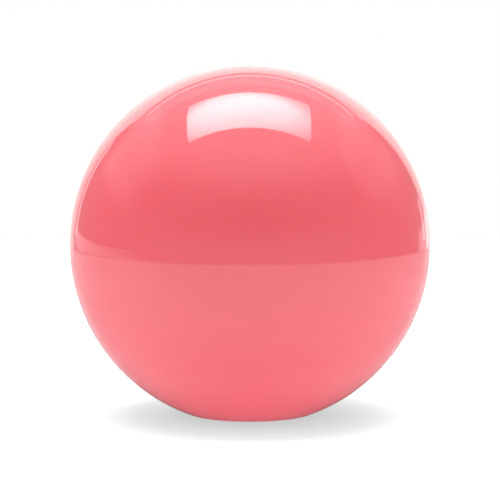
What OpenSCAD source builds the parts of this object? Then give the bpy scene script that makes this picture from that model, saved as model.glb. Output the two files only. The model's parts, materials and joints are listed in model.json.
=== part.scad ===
// Joystick ball top: a glossy moulded ball on a small flat foot, with a brass
// insert that screws onto the threaded end of a lever shaft.
// The origin is the centre of the foot, and +Z runs up the shaft's axis.

/* [Ball] */
// Diameter of the ball
ball_d = 35; // [32:0.5:40]
// Diameter of the flat foot at the bottom of the ball
foot_d = 12; // [11.6:0.1:14]
// Width of the mould parting line round the ball's equator
parting_w = 0.12; // [0.08:0.02:0.3]
// Depth of the mould parting line
parting_depth = 0.03; // [0.02:0.01:0.08]

/* [Core] */
// Thickness of the coloured skin over the core
skin = 4; // [3:0.25:5]
// Diameter of the core's neck, which fills the hole in the skin at the foot
neck_d = 10.2; // [9.8:0.1:11]
// Depth of the neck's end face below the foot
neck_recess = 0.15; // [0.05:0.05:0.4]
// Number of ribs, pole to pole, that keep the skin from turning on the core
rib_count = 6; // [4:2:8]
// Width of every locking rib
rib_w = 1.6; // [1:0.2:2.4]
// Height of every locking rib above the core ball
rib_h = 0.8; // [0.4:0.1:1.2]

/* [Insert] */
// Outside diameter of the brass insert
insert_d = 8.2; // [7.8:0.1:8.8]
// Length of the brass insert
insert_l = 15; // [14.8:0.1:18]
// Depth of the insert's end face below the foot
insert_recess = 0.3; // [0.1:0.05:0.6]
// Length of the plain collar at the insert's mouth
collar_l = 1.5; // [1:0.1:2.5]
// Width of the groove that locks the insert in the core
groove_w = 2.4; // [1.6:0.2:3.2]
// Depth of that groove
groove_depth = 0.7; // [0.4:0.1:0.9]
// Number of ridges round each knurled band
knurl_count = 28; // [20:2:36]
// Depth of the knurling
knurl_depth = 0.35; // [0.2:0.05:0.45]

/* [Thread] */
// Bore before threading: 5 mm is the tapping size of an M6 x 1 thread
thread_bore_d = 5; // [4.9:0.05:5.15]
// Depth of the threaded bore from the insert's end face
thread_depth = 12; // [10:0.5:12.5]
// Diameter of the countersink at the mouth of the thread
countersink_d = 6.4; // [6.1:0.1:7]

/* [Hidden] */
$fn = 96;

ball_r = ball_d / 2;
foot_r = foot_d / 2;
// Height of the ball's centre above the foot
centre_z = sqrt(ball_r * ball_r - foot_r * foot_r);
core_r = ball_r - skin;
rib_r = core_r + rib_h;
neck_r = neck_d / 2;

insert_r = insert_d / 2;
// Step in from the collar to the knurling, and from the knurling to the plain end
insert_step = 0.1;
knurl_tip_r = insert_r - insert_step;
knurl_root_r = knurl_tip_r - knurl_depth;
end_r = knurl_root_r - insert_step;
end_chamfer = 0.5;
insert_top = insert_recess + insert_l;
band_l = (insert_l - collar_l - groove_w - end_chamfer) / 2;
groove_z = insert_recess + collar_l + band_l;

bore_r = thread_bore_d / 2;
countersink_h = (countersink_d - thread_bore_d) / 2;
drill_tip_h = bore_r / tan(59);

// Overshoot that keeps a cutter clear of the faces it passes through
cut = 1;

// A solid ball cut flat at the foot
module footed_ball() {
    intersection() {
        translate([0, 0, centre_z])
            sphere(r = ball_r);
        cylinder(r = ball_r + cut, h = centre_z + ball_r + cut);
    }
}

// V-shaped ring that cuts the parting line into the equator
module parting_line() {
    flare = (parting_depth + cut) / parting_depth;
    translate([0, 0, centre_z])
        rotate_extrude()
            polygon([
                [ball_r - parting_depth, 0],
                [ball_r + cut, -flare * parting_w / 2],
                [ball_r + cut, flare * parting_w / 2]
            ]);
}

// Locking ribs: one round the equator, and rib_count from pole to pole
module locking_ribs() {
    intersection() {
        sphere(r = rib_r);
        union() {
            cube([ball_d, ball_d, rib_w], center = true);
            for (i = [0 : rib_count / 2 - 1])
                rotate([0, 0, i * 360 / rib_count])
                    cube([ball_d, rib_w, ball_d], center = true);
        }
    }
}

// The core with its ribs, and its neck from height neck_z up, before the insert's seat is taken out
module core_blank(neck_z) {
    translate([0, 0, centre_z]) {
        sphere(r = core_r);
        locking_ribs();
    }
    translate([0, 0, neck_z])
        cylinder(r = neck_r, h = centre_z - neck_z);
}

// One band of straight knurling, from height z up
module knurl_band(z) {
    step = 360 / knurl_count;
    translate([0, 0, z])
        linear_extrude(height = band_l)
            polygon([
                for (i = [0 : knurl_count - 1], tip = [0, 1])
                    let (r = tip == 1 ? knurl_tip_r : knurl_root_r, a = (i + tip / 2) * step)
                        [r * cos(a), r * sin(a)]
            ]);
}

// The insert before its bore is drilled, with its mouth at height mouth_z:
// collar, two knurled bands with a groove between them, and chamfered end
module insert_blank(mouth_z) {
    translate([0, 0, mouth_z])
        cylinder(r = insert_r, h = insert_recess + collar_l - mouth_z);
    knurl_band(insert_recess + collar_l);
    translate([0, 0, groove_z])
        cylinder(r = insert_r - groove_depth, h = groove_w);
    knurl_band(groove_z + groove_w);
    translate([0, 0, insert_top - end_chamfer])
        cylinder(r1 = end_r, r2 = end_r - end_chamfer, h = end_chamfer);
}

// Threaded bore with its countersink and the drill's conical end
module thread_bore() {
    translate([0, 0, insert_recess - cut])
        cylinder(r = bore_r, h = thread_depth + cut);
    translate([0, 0, insert_recess + thread_depth])
        cylinder(r1 = bore_r, r2 = 0, h = drill_tip_h);
    translate([0, 0, insert_recess - cut])
        cylinder(r1 = countersink_d / 2 + cut, r2 = bore_r, h = countersink_h + cut);
}

module outer_shell() {
    color("lightcoral")
        difference() {
            footed_ball();
            parting_line();
            core_blank(-cut);
        }
}

module inner_core() {
    color("indianred")
        difference() {
            core_blank(neck_recess);
            insert_blank(-cut);
        }
}

module threaded_insert() {
    color("darkgoldenrod")
        difference() {
            insert_blank(insert_recess);
            thread_bore();
        }
}

outer_shell();
inner_core();
threaded_insert();
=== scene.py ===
"""Joystick ball top: detailed meshes, materials and a small photo studio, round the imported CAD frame.

Lengths are in metres, in the CAD's own frame: the origin is the centre of the foot and +Z is up. The
camera looks along +Y, so the front is -Y.
"""

import json
import math

import bmesh
import bpy
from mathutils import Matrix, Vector


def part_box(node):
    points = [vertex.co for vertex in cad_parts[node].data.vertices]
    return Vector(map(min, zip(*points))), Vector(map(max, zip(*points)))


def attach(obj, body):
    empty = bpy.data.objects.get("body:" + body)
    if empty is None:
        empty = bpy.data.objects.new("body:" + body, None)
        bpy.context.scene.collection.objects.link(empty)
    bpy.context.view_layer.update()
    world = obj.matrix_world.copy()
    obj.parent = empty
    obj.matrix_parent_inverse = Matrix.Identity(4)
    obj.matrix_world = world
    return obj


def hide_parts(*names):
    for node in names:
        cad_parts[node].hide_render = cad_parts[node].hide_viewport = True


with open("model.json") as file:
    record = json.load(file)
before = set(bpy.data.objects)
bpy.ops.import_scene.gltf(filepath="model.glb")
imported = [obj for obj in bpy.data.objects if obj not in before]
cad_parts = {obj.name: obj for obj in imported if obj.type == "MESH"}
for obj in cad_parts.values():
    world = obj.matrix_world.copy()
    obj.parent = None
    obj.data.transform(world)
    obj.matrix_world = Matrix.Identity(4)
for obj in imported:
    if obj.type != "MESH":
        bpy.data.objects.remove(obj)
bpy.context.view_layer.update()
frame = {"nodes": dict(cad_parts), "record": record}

MM = 0.001

# ---------------------------------------------------------------- sizes taken from the frame

shell_low, shell_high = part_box("outer_shell")
core_low, core_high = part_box("inner_core")
insert_low, insert_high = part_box("threaded_insert")
thread = next(m for m in frame["record"]["mounts"] if m["name"] == "shaft_thread")


def widest_at(node, z):
    """Radius of the widest point of a CAD node at height z."""
    points = [v.co for v in frame["nodes"][node].data.vertices]
    return max(math.hypot(p.x, p.y) for p in points if abs(p.z - z) < 0.01 * MM)


BALL_R = (shell_high.x - shell_low.x) / 2
CENTRE_Z = shell_high.z - BALL_R
FOOT_R = widest_at("outer_shell", 0.0)
RIB_R = core_high.z - CENTRE_Z
NECK_Z = core_low.z
NECK_R = widest_at("inner_core", NECK_Z)
INSERT_R = (insert_high.x - insert_low.x) / 2
INSERT_Z = insert_low.z
INSERT_TOP = insert_high.z
BORE_R = thread["dims"]["r_mm"] * MM
BORE_MOUTH_Z = thread["pos_m"][2]
BORE_END_Z = BORE_MOUTH_Z + thread["dims"]["length_mm"] * MM

# ---------------------------------------------------------------- sizes of the details

QUARTER = math.pi / 2

# Points in each ring of a mesh: a multiple of the ribs and of the knurling's ridges
COLUMNS = 168
RIBS = 6
KNURLS = 28

# The parting line is a V with a narrow flat bed, and the ball's rings stop a little outside its lips
PARTING_HALF = 0.05 * MM
PARTING_BED_HALF = 0.2 * PARTING_HALF
PARTING_MARGIN = 1.4
PARTING_DEPTH = 0.022 * MM
# Polar angle of the ring nearest to the ball's top
FIRST_RING = math.radians(1.5)
FOOT_ROUND = 0.3 * MM
# The hole for the core's neck: its rounded rim, and its wall above the neck's end face
HOLE_ROUND = 0.12 * MM
HOLE_WALL = 0.5 * MM

RIB_H = 0.8 * MM
CORE_R = RIB_R - RIB_H
RIB_HALF = 0.8 * MM
RIB_SLOPE = 0.15 * MM
# A rib's own edge columns count as on it, in spite of rounding
RIB_EDGE = 1.001
HUB_R = 2.4 * MM
NECK_EDGE = 0.08 * MM
NECK_WALL = 2 * MM

COLLAR_L = 1.5 * MM
COLLAR_EDGE = 0.1 * MM
INSERT_EDGE = 0.12 * MM
GROOVE_W = 2.4 * MM
GROOVE_R = INSERT_R - 0.7 * MM
KNURL_TIP_R = INSERT_R - 0.13 * MM
KNURL_ROOT_R = INSERT_R - 0.45 * MM
# Ridges this much taller than their tips, cut off there, have flat tips
KNURL_OVERSIZE = 1.25
KNURL_LEAD = 0.2 * MM
END_R = INSERT_R - 0.55 * MM
END_CHAMFER = 0.5 * MM

THREAD_PITCH = 1.0 * MM
THREAD_DEPTH = 0.5 * MM
# The flat at the thread's crest, and then its flank, as shares of half a pitch
THREAD_CREST = 0.2
THREAD_FLANK = 0.65
THREAD_STOP = 0.4 * MM
THREAD_RUNOUT = 1.5 * MM
ROWS_PER_TURN = 12
DRILL_TIP_H = BORE_R / math.tan(math.radians(59))

# ---------------------------------------------------------------- colours

CORAL = ((0.79, 0.126, 0.160), (0.83, 0.134, 0.170))
DUST = ((1, 1, 1), (0.55, 0.75, 0.75))
MATT_CORAL = ((0.50, 0.062, 0.085), (0.66, 0.092, 0.12))
BRASS = ((0.56, 0.37, 0.13), (0.80, 0.60, 0.27))
WHITE = (1, 1, 1)
WARM_WHITE = (1, 0.93, 0.87)


# ---------------------------------------------------------------- mesh building


def spread(start, stop, count):
    """count values from start to stop, both included."""
    return [start + (stop - start) * i / (count - 1) for i in range(count)]


def turned(radius_at, z):
    """A level ring of COLUMNS points. radius_at gives the radius at each column's number and angle."""
    points = []
    for i in range(COLUMNS):
        angle = i * math.tau / COLUMNS
        r = radius_at(i, angle)
        points.append(Vector((r * math.cos(angle), r * math.sin(angle), z)))
    return points


def ring(r, z):
    """A level circle."""
    return turned(lambda i, angle: r, z)


def arc(r0, z0, radius, start, stop, count):
    """(r, z) points along an arc round (r0, z0). Angles are in degrees from the +r direction."""
    angles = [math.radians(a) for a in spread(start, stop, count)]
    return [(r0 + radius * math.cos(a), z0 + radius * math.sin(a)) for a in angles]


def ball_point(radius, polar):
    """(r, z) on a ball round the common centre, at a polar angle from +Z."""
    return (radius * math.sin(polar), CENTRE_Z + radius * math.cos(polar))


def closed_skin(name, first, rings, last, sharp_deg=40):
    """A closed mesh from one pole point, through rings, to another pole point."""
    bm = bmesh.new()
    start = bm.verts.new(first)
    rows = [[bm.verts.new(p) for p in points] for points in rings]
    end = bm.verts.new(last)
    for i in range(COLUMNS):
        j = (i + 1) % COLUMNS
        bm.faces.new((start, rows[0][i], rows[0][j]))
        for near, far in zip(rows, rows[1:]):
            bm.faces.new((near[i], far[i], far[j], near[j]))
        bm.faces.new((end, rows[-1][j], rows[-1][i]))
    bmesh.ops.recalc_face_normals(bm, faces=bm.faces)
    for face in bm.faces:
        face.smooth = True
    for edge in bm.edges:
        edge.smooth = edge.calc_face_angle(0.0) < math.radians(sharp_deg)
    mesh = bpy.data.meshes.new(name)
    bm.to_mesh(mesh)
    bm.free()
    piece = bpy.data.objects.new(name, mesh)
    bpy.context.scene.collection.objects.link(piece)
    return piece


# ---------------------------------------------------------------- the core's ribbed ball


def rib_sector_angles(rib_half, rib_foot):
    """The columns' angles across one rib's sector, closer together on the rib and its two slopes."""
    half_sector = math.pi / RIBS
    on_rib = 6
    beside = (COLUMNS // RIBS - on_rib - 2) // 2
    stretches = [
        (-half_sector, -rib_foot, beside),
        (-rib_foot, -rib_half, 1),
        (-rib_half, rib_half, on_rib),
        (rib_half, rib_foot, 1),
        (rib_foot, half_sector, beside),
    ]
    return [
        start + (stop - start) * k / steps
        for start, stop, steps in stretches
        for k in range(steps)
    ]


def ribbed_ring(polar, all_high):
    """A ring of the core ball at a polar angle from +Z, with only its ribs high, or all of it."""
    rib_half = math.asin(RIB_HALF / (RIB_R * math.sin(polar)))
    rib_foot = math.asin((RIB_HALF + RIB_SLOPE) / (CORE_R * math.sin(polar)))
    points = []
    for rib in range(RIBS):
        for angle in rib_sector_angles(rib_half, rib_foot):
            high = all_high or abs(angle) < rib_half * RIB_EDGE
            radius = RIB_R if high else CORE_R
            turn = angle + rib * math.tau / RIBS
            flat = radius * math.sin(polar)
            level = CENTRE_Z + radius * math.cos(polar)
            points.append(Vector((flat * math.cos(turn), flat * math.sin(turn), level)))
    return points


def ribbed_rings():
    """The core ball's rings, from the hub at the top pole down to the neck."""
    hub = math.asin(HUB_R / RIB_R)
    hub_foot = math.asin((HUB_R + RIB_SLOPE) / CORE_R)
    belt = math.asin(RIB_HALF / RIB_R)
    belt_foot = math.asin((RIB_HALF + RIB_SLOPE) / CORE_R)
    neck = math.pi - math.asin(NECK_R / CORE_R) - math.radians(1)
    rings = [ring(*ball_point(RIB_R, a)) for a in spread(hub / 4, hub * 0.8, 3)]
    rings.append(ribbed_ring(hub, True))
    rings += [ribbed_ring(a, False) for a in spread(hub_foot, QUARTER - belt_foot, 24)]
    rings += [ribbed_ring(a, True) for a in spread(QUARTER - belt, QUARTER + belt, 4)]
    rings += [ribbed_ring(a, False) for a in spread(QUARTER + belt_foot, neck, 20)]
    junction = []
    for point in rings[-1]:
        radius = (point - Vector((0, 0, CENTRE_Z))).length
        level = CENTRE_Z - math.sqrt(radius**2 - NECK_R**2)
        scale = NECK_R / math.hypot(point.x, point.y)
        junction.append(Vector((point.x * scale, point.y * scale, level)))
    return rings + [junction]


# ---------------------------------------------------------------- the insert's outside


def knurled_ring(z):
    """A ring of the straight knurling, with flattened tips."""
    per_ridge = COLUMNS // KNURLS

    def radius(i, angle):
        share = 1 - abs((i % per_ridge) / per_ridge * 2 - 1)
        return KNURL_ROOT_R + (KNURL_TIP_R - KNURL_ROOT_R) * min(1.0, share * KNURL_OVERSIZE)

    return turned(radius, z)


def knurl_band(low, high):
    """One knurled band, whose ridges run out to the root at both ends."""
    rings = [ring(KNURL_ROOT_R, low)]
    rings += [knurled_ring(z) for z in spread(low + KNURL_LEAD, high - KNURL_LEAD, 5)]
    return rings + [ring(KNURL_ROOT_R, high)]


def insert_wall():
    """The insert's outside from its collar's top to its blind end, which is also the core's seat."""
    collar_z = INSERT_Z + COLLAR_L
    band_l = (INSERT_TOP - END_CHAMFER - collar_z - GROOVE_W) / 2
    groove_z = collar_z + band_l
    rings = [ring(INSERT_R, collar_z - COLLAR_EDGE), ring(INSERT_R - COLLAR_EDGE, collar_z)]
    rings += knurl_band(collar_z, groove_z)
    rings += [ring(GROOVE_R, groove_z), ring(GROOVE_R, groove_z + GROOVE_W)]
    rings += knurl_band(groove_z + GROOVE_W, INSERT_TOP - END_CHAMFER)
    rings += [ring(END_R, INSERT_TOP - END_CHAMFER), ring(END_R - END_CHAMFER, INSERT_TOP)]
    return rings + [ring(END_R / 2, INSERT_TOP)]


# ---------------------------------------------------------------- the insert's thread


def thread_cut(angle, z):
    """How far the thread cuts into the bore's wall.

    It is right-handed, with a flat crest and smoothed flanks, and fades out before the bore ends.
    """
    phase = (z / THREAD_PITCH - angle / math.tau) % 1.0
    share = 1 - abs(phase * 2 - 1)
    flank = min(1.0, max(0.0, (share - THREAD_CREST) / THREAD_FLANK))
    fade = min(1.0, max(0.0, (BORE_END_Z - THREAD_STOP - z) / THREAD_RUNOUT))
    return THREAD_DEPTH * flank * flank * (3 - 2 * flank) * fade


def threaded_rings():
    """The bore's rings from the countersink's rim to the bottom of the bore."""
    turns = (BORE_END_Z - INSERT_Z) / THREAD_PITCH
    rings = []
    for z in spread(INSERT_Z, BORE_END_Z, int(turns * ROWS_PER_TURN) + 1):
        cone = BORE_R + max(0.0, BORE_MOUTH_Z - z)
        rings.append(turned(lambda i, angle: max(cone, BORE_R + thread_cut(angle, z)), z))
    return rings


# ---------------------------------------------------------------- the three pieces


def outer_arc(first, last, count):
    """(r, z) points down the ball's outside between two polar angles."""
    return [ball_point(BALL_R, a) for a in spread(first, last, count)]


def make_shell():
    """The glossy outer shell: ball, parting line, foot, neck hole and ribbed cavity."""
    lip = math.asin(PARTING_HALF / BALL_R)
    margin = PARTING_MARGIN * lip
    bed_r = BALL_R - PARTING_DEPTH
    foot_r = math.sqrt((BALL_R - FOOT_ROUND) ** 2 - (CENTRE_Z - FOOT_ROUND) ** 2)
    foot_polar = QUARTER + math.atan2(CENTRE_Z - FOOT_ROUND, foot_r)
    outside = outer_arc(FIRST_RING, QUARTER - margin, 64)
    outside += [ball_point(BALL_R, QUARTER - lip)]
    outside += [(bed_r, CENTRE_Z + PARTING_BED_HALF), (bed_r, CENTRE_Z - PARTING_BED_HALF)]
    outside += [ball_point(BALL_R, QUARTER + lip)]
    outside += outer_arc(QUARTER + margin, foot_polar, 56)
    outside += arc(foot_r, FOOT_ROUND, FOOT_ROUND, 90 - math.degrees(foot_polar), -90, 5)[1:]
    outside += [(NECK_R + HOLE_ROUND, 0.0)]
    outside += arc(NECK_R + HOLE_ROUND, HOLE_ROUND, HOLE_ROUND, 270, 180, 4)[1:]
    outside += [(NECK_R, NECK_Z + HOLE_WALL)]
    rings = [ring(r, z) for r, z in outside] + ribbed_rings()[::-1]
    return closed_skin("ball_shell", (0, 0, CENTRE_Z + BALL_R), rings, (0, 0, CENTRE_Z + RIB_R))


def make_core():
    """The moulded core: ribbed ball, neck and the insert's seat."""
    edge_z = NECK_Z + NECK_EDGE
    rings = ribbed_rings()
    rings += [ring(NECK_R, NECK_Z + NECK_WALL)]
    rings += [ring(NECK_R, edge_z), ring(NECK_R - NECK_EDGE, NECK_Z)]
    rings += [ring(INSERT_R + NECK_EDGE, NECK_Z), ring(INSERT_R, edge_z)]
    rings += insert_wall()
    return closed_skin("core_moulding", (0, 0, CENTRE_Z + RIB_R), rings, (0, 0, INSERT_TOP))


def make_insert():
    """The brass insert: knurled outside and a blind threaded bore."""
    rings = insert_wall()[::-1]
    rings += [ring(INSERT_R, INSERT_Z + INSERT_EDGE), ring(INSERT_R - INSERT_EDGE, INSERT_Z)]
    rings += threaded_rings()
    return closed_skin("brass_insert", (0, 0, INSERT_TOP), rings, (0, 0, BORE_END_Z + DRILL_TIP_H))


# ---------------------------------------------------------------- materials


def new_material(name):
    """A node material, its nodes and its links."""
    material = bpy.data.materials.new(name)
    material.use_nodes = True
    return material, material.node_tree.nodes, material.node_tree.links


def math_node(nodes, links, operation, first, second):
    """A math node. Each input is a number or another node's output."""
    node = nodes.new("ShaderNodeMath")
    node.operation = operation
    for socket, value in zip(node.inputs, (first, second)):
        if isinstance(value, (int, float)):
            socket.default_value = value
        else:
            links.new(value, socket)
    return node.outputs[0]


def constant(nodes, number):
    """A fixed number as a node's output."""
    node = nodes.new("ShaderNodeValue")
    node.outputs[0].default_value = number
    return node.outputs[0]


def mapped(nodes, links, value, low, high, to_low, to_high):
    """value, taken smoothly from low..high to to_low..to_high, and clamped there."""
    node = nodes.new("ShaderNodeMapRange")
    node.interpolation_type = "SMOOTHSTEP"
    for socket, number in zip(node.inputs[1:5], (low, high, to_low, to_high)):
        socket.default_value = number
    links.new(value, node.inputs[0])
    return node.outputs[0]


def noise(nodes, links, place, scale, detail):
    """Noise at a scale in features per metre."""
    node = nodes.new("ShaderNodeTexNoise")
    node.inputs["Scale"].default_value = scale
    node.inputs["Detail"].default_value = detail
    links.new(place, node.inputs["Vector"])
    return node.outputs["Fac"]


def bump(nodes, links, height, depth):
    """A bump of a true depth in metres."""
    node = nodes.new("ShaderNodeBump")
    node.inputs["Strength"].default_value = 1.0
    node.inputs["Distance"].default_value = depth
    links.new(height, node.inputs["Height"])
    return node.outputs["Normal"]


def vector_length(nodes, links, vector):
    """The length of a vector that is another node's output."""
    node = nodes.new("ShaderNodeVectorMath")
    node.operation = "LENGTH"
    links.new(vector, node.inputs[0])
    return node.outputs["Value"]


def parts_of(nodes, links, vector):
    """A vector's three parts, as outputs named X, Y and Z."""
    node = nodes.new("ShaderNodeSeparateXYZ")
    links.new(vector, node.inputs[0])
    return node.outputs


def placed(nodes, kind="Object"):
    """Where a shaded point is: in metres for Object, or in shares of its mesh's box for Generated.

    A world's Generated is the direction that the ray goes in.
    """
    return nodes.new("ShaderNodeTexCoord").outputs[kind]


def tinted(nodes, links, value, dark, light):
    """A colour between two, chosen by a value from 0 to 1."""
    node = nodes.new("ShaderNodeMix")
    node.data_type = "RGBA"
    node.inputs["A"].default_value = (*dark, 1)
    node.inputs["B"].default_value = (*light, 1)
    links.new(value, node.inputs["Factor"])
    return node.outputs["Result"]


def multiplied(nodes, links, first, second):
    """Two colours, one multiplied by the other."""
    node = nodes.new("ShaderNodeMix")
    node.data_type = "RGBA"
    node.blend_type = "MULTIPLY"
    node.inputs["Factor"].default_value = 1.0
    links.new(first, node.inputs["A"])
    links.new(second, node.inputs["B"])
    return node.outputs["Result"]


def specks(nodes, links, place, scale, radius):
    """Scattered specks: 1 on a speck and 0 between them. The radius is in cells of the scale."""
    cells = nodes.new("ShaderNodeTexVoronoi")
    cells.inputs["Scale"].default_value = scale
    links.new(place, cells.inputs["Vector"])
    spot = mapped(nodes, links, cells.outputs["Distance"], 0.5 * radius, radius, 1.0, 0.0)
    split = nodes.new("ShaderNodeSeparateColor")
    links.new(cells.outputs["Color"], split.inputs[0])
    chosen = math_node(nodes, links, "GREATER_THAN", split.outputs[0], 0.5)
    return math_node(nodes, links, "MULTIPLY", spot, chosen)


def shell_plastic():
    """Mirror-gloss coral plastic: faint waviness, a little dust, and a satin foot."""
    material, nodes, links = new_material("shell_plastic")
    bsdf = nodes["Principled BSDF"]
    place = placed(nodes)
    dust = specks(nodes, links, place, scale=700.0, radius=0.045)
    clean = tinted(nodes, links, noise(nodes, links, place, scale=90.0, detail=3.0), *CORAL)
    dusty = tinted(nodes, links, dust, *DUST)
    links.new(multiplied(nodes, links, clean, dusty), bsdf.inputs["Base Color"])
    cloudy = noise(nodes, links, place, scale=400.0, detail=6.0)
    haze = mapped(nodes, links, cloudy, 0.4, 0.75, 0.0, 0.02)
    height = parts_of(nodes, links, place)["Z"]
    satin = mapped(nodes, links, height, 0.05 * MM, 0.2 * MM, 0.35, 0.0)
    rough = math_node(nodes, links, "MAXIMUM", satin, math_node(nodes, links, "MULTIPLY", dust, 0.6))
    links.new(math_node(nodes, links, "ADD", haze, rough), bsdf.inputs["Roughness"])
    bsdf.inputs["IOR"].default_value = 1.5
    bsdf.inputs["Subsurface Weight"].default_value = 1.0
    bsdf.inputs["Subsurface Radius"].default_value = (1.0, 0.5, 0.5)
    bsdf.inputs["Subsurface Scale"].default_value = 4.0 * MM
    waves = noise(nodes, links, place, scale=220.0, detail=1.0)
    links.new(bump(nodes, links, waves, 0.0015 * MM), bsdf.inputs["Normal"])
    return material


def core_plastic():
    """Matt coral plastic as it leaves a spark-eroded mould."""
    material, nodes, links = new_material("core_plastic")
    bsdf = nodes["Principled BSDF"]
    place = placed(nodes)
    flow = noise(nodes, links, place, scale=300.0, detail=4.0)
    links.new(tinted(nodes, links, flow, *MATT_CORAL), bsdf.inputs["Base Color"])
    grain = noise(nodes, links, place, scale=7000.0, detail=3.0)
    links.new(mapped(nodes, links, grain, 0.3, 0.7, 0.42, 0.62), bsdf.inputs["Roughness"])
    links.new(bump(nodes, links, grain, 0.02 * MM), bsdf.inputs["Normal"])
    return material


def insert_brass():
    """Turned brass: uneven stain, and fine tool rings round the axis."""
    material, nodes, links = new_material("insert_brass")
    bsdf = nodes["Principled BSDF"]
    place = placed(nodes)
    bsdf.inputs["Metallic"].default_value = 1.0
    stain = noise(nodes, links, place, scale=900.0, detail=5.0)
    links.new(tinted(nodes, links, stain, *BRASS), bsdf.inputs["Base Color"])
    links.new(mapped(nodes, links, stain, 0.3, 0.8, 0.34, 0.2), bsdf.inputs["Roughness"])
    flat = nodes.new("ShaderNodeVectorMath")
    flat.operation = "MULTIPLY"
    flat.inputs[1].default_value = (1, 1, 0)
    links.new(place, flat.inputs[0])
    from_axis = vector_length(nodes, links, flat.outputs[0])
    tool_feed = 0.09 * MM
    turns = math_node(nodes, links, "MULTIPLY", from_axis, math.tau / tool_feed)
    tool_rings = math_node(nodes, links, "SINE", turns, 0)
    links.new(bump(nodes, links, tool_rings, 0.004 * MM), bsdf.inputs["Normal"])
    return material


# ---------------------------------------------------------------- shaders for the studio


def glowing(nodes, links, strength, tint=WHITE):
    """A glow, whose strength is another node's output."""
    shine = nodes.new("ShaderNodeEmission")
    shine.inputs["Color"].default_value = (*tint, 1)
    links.new(strength, shine.inputs["Strength"])
    return shine.outputs[0]


def paper(nodes, links, albedo):
    """A matt grey surface, whose albedo is another node's output."""
    matt = nodes.new("ShaderNodeBsdfDiffuse")
    links.new(albedo, matt.inputs["Color"])
    return matt.outputs[0]


def see_through(nodes):
    """Nothing: light passes straight on."""
    return nodes.new("ShaderNodeBsdfTransparent").outputs[0]


def both_shaders(nodes, links, first, second):
    """Two shaders added together."""
    added = nodes.new("ShaderNodeAddShader")
    links.new(first, added.inputs[0])
    links.new(second, added.inputs[1])
    return added.outputs[0]


def either_shader(nodes, links, switch, off, on):
    """One shader where the switch is 0, and the other where it is 1."""
    mix = nodes.new("ShaderNodeMixShader")
    for socket, shader in zip(mix.inputs, (switch, off, on)):
        links.new(shader, socket)
    return mix.outputs[0]


# ---------------------------------------------------------------- studio


def add_stage(name, mesh):
    """A stage object, which is not part of the ball top."""
    obj = bpy.data.objects.new(name, mesh)
    bpy.context.scene.collection.objects.link(obj)
    return obj


def cloth_mask(nodes, links, split, hot_spot):
    """The evenness of a lit cloth: 1 at its hot spot, less away from it, and faint creases.

    hot_spot is the brightest place, as shares of the panel's sides from its lower left corner, then the
    square of the distance over which it fades, then what it fades to.
    """
    spot_x, spot_y, reach, faded = hot_spot
    across = math_node(nodes, links, "SUBTRACT", split["X"], spot_x)
    along = math_node(nodes, links, "SUBTRACT", split["Y"], spot_y)
    squares = [math_node(nodes, links, "MULTIPLY", side, side) for side in (across, along)]
    away = math_node(nodes, links, "ADD", *squares)
    falloff = mapped(nodes, links, away, 0.0, reach, 1.0, faded)
    folds = noise(nodes, links, placed(nodes), scale=12.0, detail=4.0)
    creases = mapped(nodes, links, folds, 0.3, 0.7, 0.88, 1.0)
    return math_node(nodes, links, "MULTIPLY", falloff, creases)


def panel(name, centre, size, facing, radiance, soft=0.01, hot_spot=None, tint=WHITE, matt_share=1.0):
    """A flat glowing panel that lights the scene and shows in reflections, but not to the camera.

    The mirror sees the radiance, and matt surfaces are lit by matt_share of it.
    soft is how far the glow takes to fade in from each edge, as a share of the panel's side.
    hot_spot is for an uneven panel: see cloth_mask.
    """
    mesh = bpy.data.meshes.new(name)
    w, h = size[0] / 2, size[1] / 2
    mesh.from_pydata([(-w, -h, 0), (w, -h, 0), (w, h, 0), (-w, h, 0)], [], [(0, 1, 2, 3)])
    material, nodes, links = new_material(name)
    nodes.clear()
    split = parts_of(nodes, links, placed(nodes, "Generated"))
    mask = 1.0
    for axis in ("X", "Y"):
        inward = math_node(nodes, links, "PINGPONG", split[axis], 0.5)
        fade_in = mapped(nodes, links, inward, 0.0, soft, 0.0, 1.0)
        mask = math_node(nodes, links, "MULTIPLY", fade_in, mask)
    if hot_spot:
        cloth = cloth_mask(nodes, links, split, hot_spot)
        mask = math_node(nodes, links, "MULTIPLY", mask, cloth)
    by_mirror = nodes.new("ShaderNodeLightPath").outputs["Is Glossy Ray"]
    strength = mapped(nodes, links, by_mirror, 0.0, 1.0, matt_share * radiance, radiance)
    glow = glowing(nodes, links, math_node(nodes, links, "MULTIPLY", mask, strength), tint)
    surface = both_shaders(nodes, links, glow, see_through(nodes))
    links.new(surface, nodes.new("ShaderNodeOutputMaterial").inputs[0])
    mesh.materials.append(material)
    obj = add_stage(name, mesh)
    obj.location = centre
    obj.rotation_mode = "QUATERNION"
    obj.rotation_quaternion = Vector(facing).to_track_quat("Z", "Y")
    obj.visible_camera = False
    obj.visible_shadow = False
    return obj


def washer(name, inner_r, outer_r):
    """A flat sheet with a round hole, facing up."""
    sides = 120
    angles = spread(0, math.tau, sides + 1)[:-1]
    points = [(r * math.cos(a), r * math.sin(a), 0) for r in (inner_r, outer_r) for a in angles]
    mesh = bpy.data.meshes.new(name)
    corners = [(i, (i + 1) % sides) for i in range(sides)]
    mesh.from_pydata(points, [], [(i, sides + i, sides + j, j) for i, j in corners])
    return mesh


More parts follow.
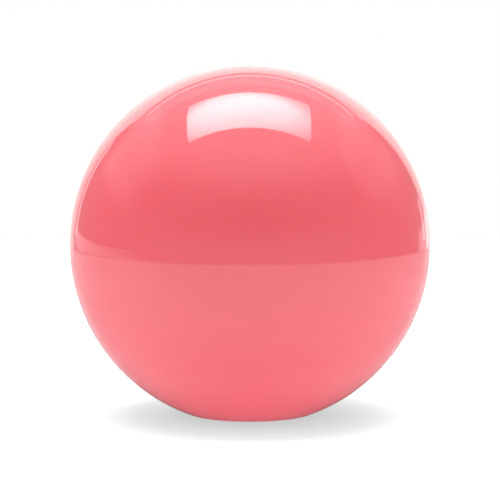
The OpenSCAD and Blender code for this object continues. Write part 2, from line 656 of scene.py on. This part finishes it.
def light_table(mesh, seen_glow, seen_albedo, mirrored, mirrored_front, front_glow, matt_middle,
                matt_side):
    """A white light table, open from below, that shows the ball's shadow and lights the ball.

    The camera sees seen_glow and seen_albedo. The ball's mirror sees painted shade behind the ball, an
    albedo of mirrored, and painted light in front, an albedo of mirrored_front and a glow of front_glow.
    Its matt colour is lit by a glow of matt_middle in line with the camera, and of matt_side to the left
    and right.
    """
    material, nodes, links = new_material("light_table")
    material.cycles.emission_sampling = "NONE"
    nodes.clear()
    place = placed(nodes)
    split = parts_of(nodes, links, place)

    def graded(axis, start, stop, to_start, to_stop):
        return mapped(nodes, links, axis, start, stop, to_start, to_stop)

    # The bearing is -1 in front of the foot and 1 behind it. Far off, more of the table counts as front.
    away = vector_length(nodes, links, place)
    bearing = math_node(nodes, links, "DIVIDE", split["Y"], away)
    far_shift = graded(away, 20 * MM, 60 * MM, 0.0, 0.42)
    bearing = math_node(nodes, links, "SUBTRACT", bearing, far_shift)
    front, behind = -0.95, 0.5
    # Painted shade and light for the mirror only: the table's albedo is darker behind the ball and paler
    # in front, and a painted glow lies in front of the foot
    mirror_painted_shade_albedo = graded(bearing, front, behind, mirrored_front, mirrored)
    clear_of_foot = graded(away, 8 * MM, 14 * MM, 0.0, front_glow)
    in_front = graded(bearing, front, behind, 1.0, 0.0)
    halo = math_node(nodes, links, "MULTIPLY", clear_of_foot, in_front)
    aside = math_node(nodes, links, "ABSOLUTE", split["X"], 0)
    matt_glow = graded(aside, 8 * MM, 50 * MM, matt_middle, matt_side)

    seen = both_shaders(nodes, links, glowing(nodes, links, constant(nodes, seen_glow)),
                        paper(nodes, links, constant(nodes, seen_albedo)))
    mirror = both_shaders(nodes, links, glowing(nodes, links, halo),
                          paper(nodes, links, mirror_painted_shade_albedo))
    matt = glowing(nodes, links, matt_glow)
    ray = nodes.new("ShaderNodeLightPath").outputs
    below = nodes.new("ShaderNodeNewGeometry").outputs["Backfacing"]
    top = either_shader(nodes, links, ray["Is Diffuse Ray"], mirror, matt)
    top = either_shader(nodes, links, ray["Is Camera Ray"], top, seen)
    top = either_shader(nodes, links, below, top, see_through(nodes))
    links.new(top, nodes.new("ShaderNodeOutputMaterial").inputs[0])
    mesh.materials.append(material)
    return add_stage("light_table", mesh)


def painted_grey_bounce_stand_in(bounce):
    """Stands in for the ball where the table looks at it, with a fixed grey glow: painted bounce and
    shade, so that its shadow is grey and not red.
    """
    low_z = 0.4 * MM
    radius = 0.998 * BALL_R
    last = QUARTER + math.asin((CENTRE_Z - low_z) / radius)
    rings = [ring(*ball_point(radius, a)) for a in spread(math.radians(2), last, 60)]
    obj = closed_skin("painted_grey_bounce_stand_in", (0, 0, CENTRE_Z + radius), rings, (0, 0, low_z))
    material, nodes, links = new_material("painted_grey_bounce_stand_in")
    material.cycles.emission_sampling = "NONE"
    nodes.clear()
    # A fixed grey glow: painted bounce light and painted shade, in place of the ball's own red bounce
    shine = glowing(nodes, links, constant(nodes, bounce))
    links.new(shine, nodes.new("ShaderNodeOutputMaterial").inputs[0])
    obj.data.materials.append(material)
    obj.visible_camera = False
    obj.visible_glossy = False
    obj.visible_transmission = False
    obj.visible_shadow = False


def room(mirrored, matt):
    """A world that is white to the camera.

    To the mirror and to matt surfaces it is a dim room, paler at the front's horizon and overhead:
    mirrored and matt are each its dim radiance, the one at the front's horizon and the zenith's.
    """
    made = bpy.data.worlds.new("studio")
    bpy.context.scene.world = made
    made.use_nodes = True
    nodes, links = made.node_tree.nodes, made.node_tree.links
    nodes.clear()
    split = parts_of(nodes, links, placed(nodes, "Generated"))
    ray = nodes.new("ShaderNodeLightPath").outputs
    shown = nodes.new("ShaderNodeBackground")
    shown.inputs["Color"].default_value = (*WHITE, 1)

    def walls(dim, front, zenith):
        low = mapped(nodes, links, split["Z"], 0.0, 0.35, front - dim, 0.0)
        ahead = mapped(nodes, links, split["Y"], -1.0, 0.3, 1.0, 0.0)
        high = mapped(nodes, links, split["Z"], 0.45, 1.0, dim, zenith)
        return math_node(nodes, links, "ADD", math_node(nodes, links, "MULTIPLY", low, ahead), high)

    def by_ray(kind, otherwise, value):
        mix = nodes.new("ShaderNodeMix")
        links.new(ray[kind], mix.inputs["Factor"])
        links.new(otherwise, mix.inputs["A"])
        links.new(value, mix.inputs["B"])
        return mix.outputs["Result"]

    strength = by_ray("Is Glossy Ray", walls(*matt), walls(*mirrored))
    strength = by_ray("Is Camera Ray", strength, constant(nodes, 1.0))
    links.new(strength, shown.inputs["Strength"])
    links.new(shown.outputs[0], nodes.new("ShaderNodeOutputWorld").inputs[0])


def towards(azimuth, elevation, distance):
    """The point that far from the ball's centre. Azimuth 0 is the front, and 90 the camera's right."""
    a, e = math.radians(azimuth), math.radians(elevation)
    direction = Vector((math.sin(a) * math.cos(e), -math.cos(a) * math.cos(e), math.sin(e)))
    return Vector((0, 0, CENTRE_Z)) + direction * distance


def facing_panel(name, azimuth, elevation, distance, spread_deg, radiance, **looks):
    """A panel that faces the ball and fills spread_deg (across, up) of its view."""
    centre = towards(azimuth, elevation, distance)
    size = [2 * distance * math.tan(math.radians(s / 2)) for s in spread_deg]
    return panel(name, centre, size, Vector((0, 0, CENTRE_Z)) - centre, radiance, **looks)


def camera(elevation, distance, lens, drop):
    """A long lens looking at the ball from the front, aimed a little below its centre by drop."""
    data = bpy.data.cameras.new("camera")
    data.lens = lens
    data.clip_start = 10 * MM
    obj = bpy.data.objects.new("camera", data)
    bpy.context.scene.collection.objects.link(obj)
    e = math.radians(elevation)
    back = Vector((0, -math.cos(e), math.sin(e)))
    up = Vector((0, math.sin(e), math.cos(e)))
    obj.location = Vector((0, 0, CENTRE_Z)) - up * drop + back * distance
    obj.rotation_mode = "QUATERNION"
    obj.rotation_quaternion = (-back).to_track_quat("-Z", "Y")
    bpy.context.scene.camera = obj


# ---------------------------------------------------------------- the scene

PIECES = [
    (make_shell, "outer_shell", "shell_plastic", shell_plastic),
    (make_core, "inner_core", "core_plastic", core_plastic),
    (make_insert, "threaded_insert", "insert_brass", insert_brass),
]
for make, node, slot, material in PIECES:
    piece = make()
    piece.data.materials.append(material())
    # The grey stand-in replaces the pieces where the table looks at them, with painted grey bounce and
    # shade
    piece.visible_diffuse = False
    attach(piece, "root")
    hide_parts(node)

# The hole keeps the table's sheet off nearly all of the foot's flat, which is in the same plane
TABLE_HOLE_R = 0.97 * FOOT_R
TABLE_R = 0.17
light_table(
    washer("light_table", TABLE_HOLE_R, TABLE_R),
    seen_glow=0.487, seen_albedo=0.8,
    # The mirror's albedos and front glow are painted shade behind the ball and painted light in front of
    # it
    mirrored=0.56, mirrored_front=1.0, front_glow=0.62,
    matt_middle=1.17, matt_side=1.75,
)
# A painted grey bounce and shade under the ball, for the table's shadow
painted_grey_bounce_stand_in(bounce=0.1)
room(mirrored=(0.38, 0.95, 1.9), matt=(0.4, 0.85, 0.9))

SOFTBOX_TILT = math.radians(20)
panel(
    "softbox", centre=(-0.006, 0.143, 0.6), size=(0.602, 0.428),
    facing=(0, math.sin(SOFTBOX_TILT), -math.cos(SOFTBOX_TILT)), radiance=11.9,
    soft=0.008, hot_spot=(0.55, 0.42, 0.45, 0.27), matt_share=0.53,
)

# Distances of the panels that show as walls and as low ledges. Each call below gives the panel's name,
# azimuth, elevation, distance, the degrees that it fills across and up, and its radiance.
WALL = 0.5
LEDGE = 0.4
facing_panel("backdrop", 180, 13, WALL, (62, 42), 1.7, hot_spot=(0.5, 0.95, 0.6, 0.5), tint=WARM_WHITE)
facing_panel("backdrop_rail", 180, 39.5, WALL, (60, 3), 1.2, tint=WARM_WHITE)
facing_panel("upper_wall", 180, 43, WALL, (70, 21), 0.42, soft=0.05)
facing_panel("left_fill", -112, 33, WALL, (60, 40), 0.7, soft=0.3)
facing_panel("right_fill", 112, 33, WALL, (60, 40), 0.55, soft=0.3)
facing_panel("left_ledge", -112, -3.95, LEDGE, (80, 5.0), 0.75, soft=0.2)
facing_panel("right_ledge", 147, -3.3, LEDGE, (32, 5.6), 0.65, soft=0.15)
facing_panel("left_stand", -145, 8, WALL, (4, 22), 1.0)
facing_panel("right_stand", 145, 0, WALL, (4, 8), 1.0)
for azimuth, radiance in ((0, 0.98), (-85, 0.3), (85, 0.55)):
    matt_fill = facing_panel("matt_fill", azimuth, 0, WALL, (70, 60), radiance, soft=0.5)
    matt_fill.visible_glossy = False
camera(elevation=6.0, distance=17 * BALL_R, lens=220.3, drop=0.5 * MM)
bpy.context.scene.view_settings.view_transform = "Standard"
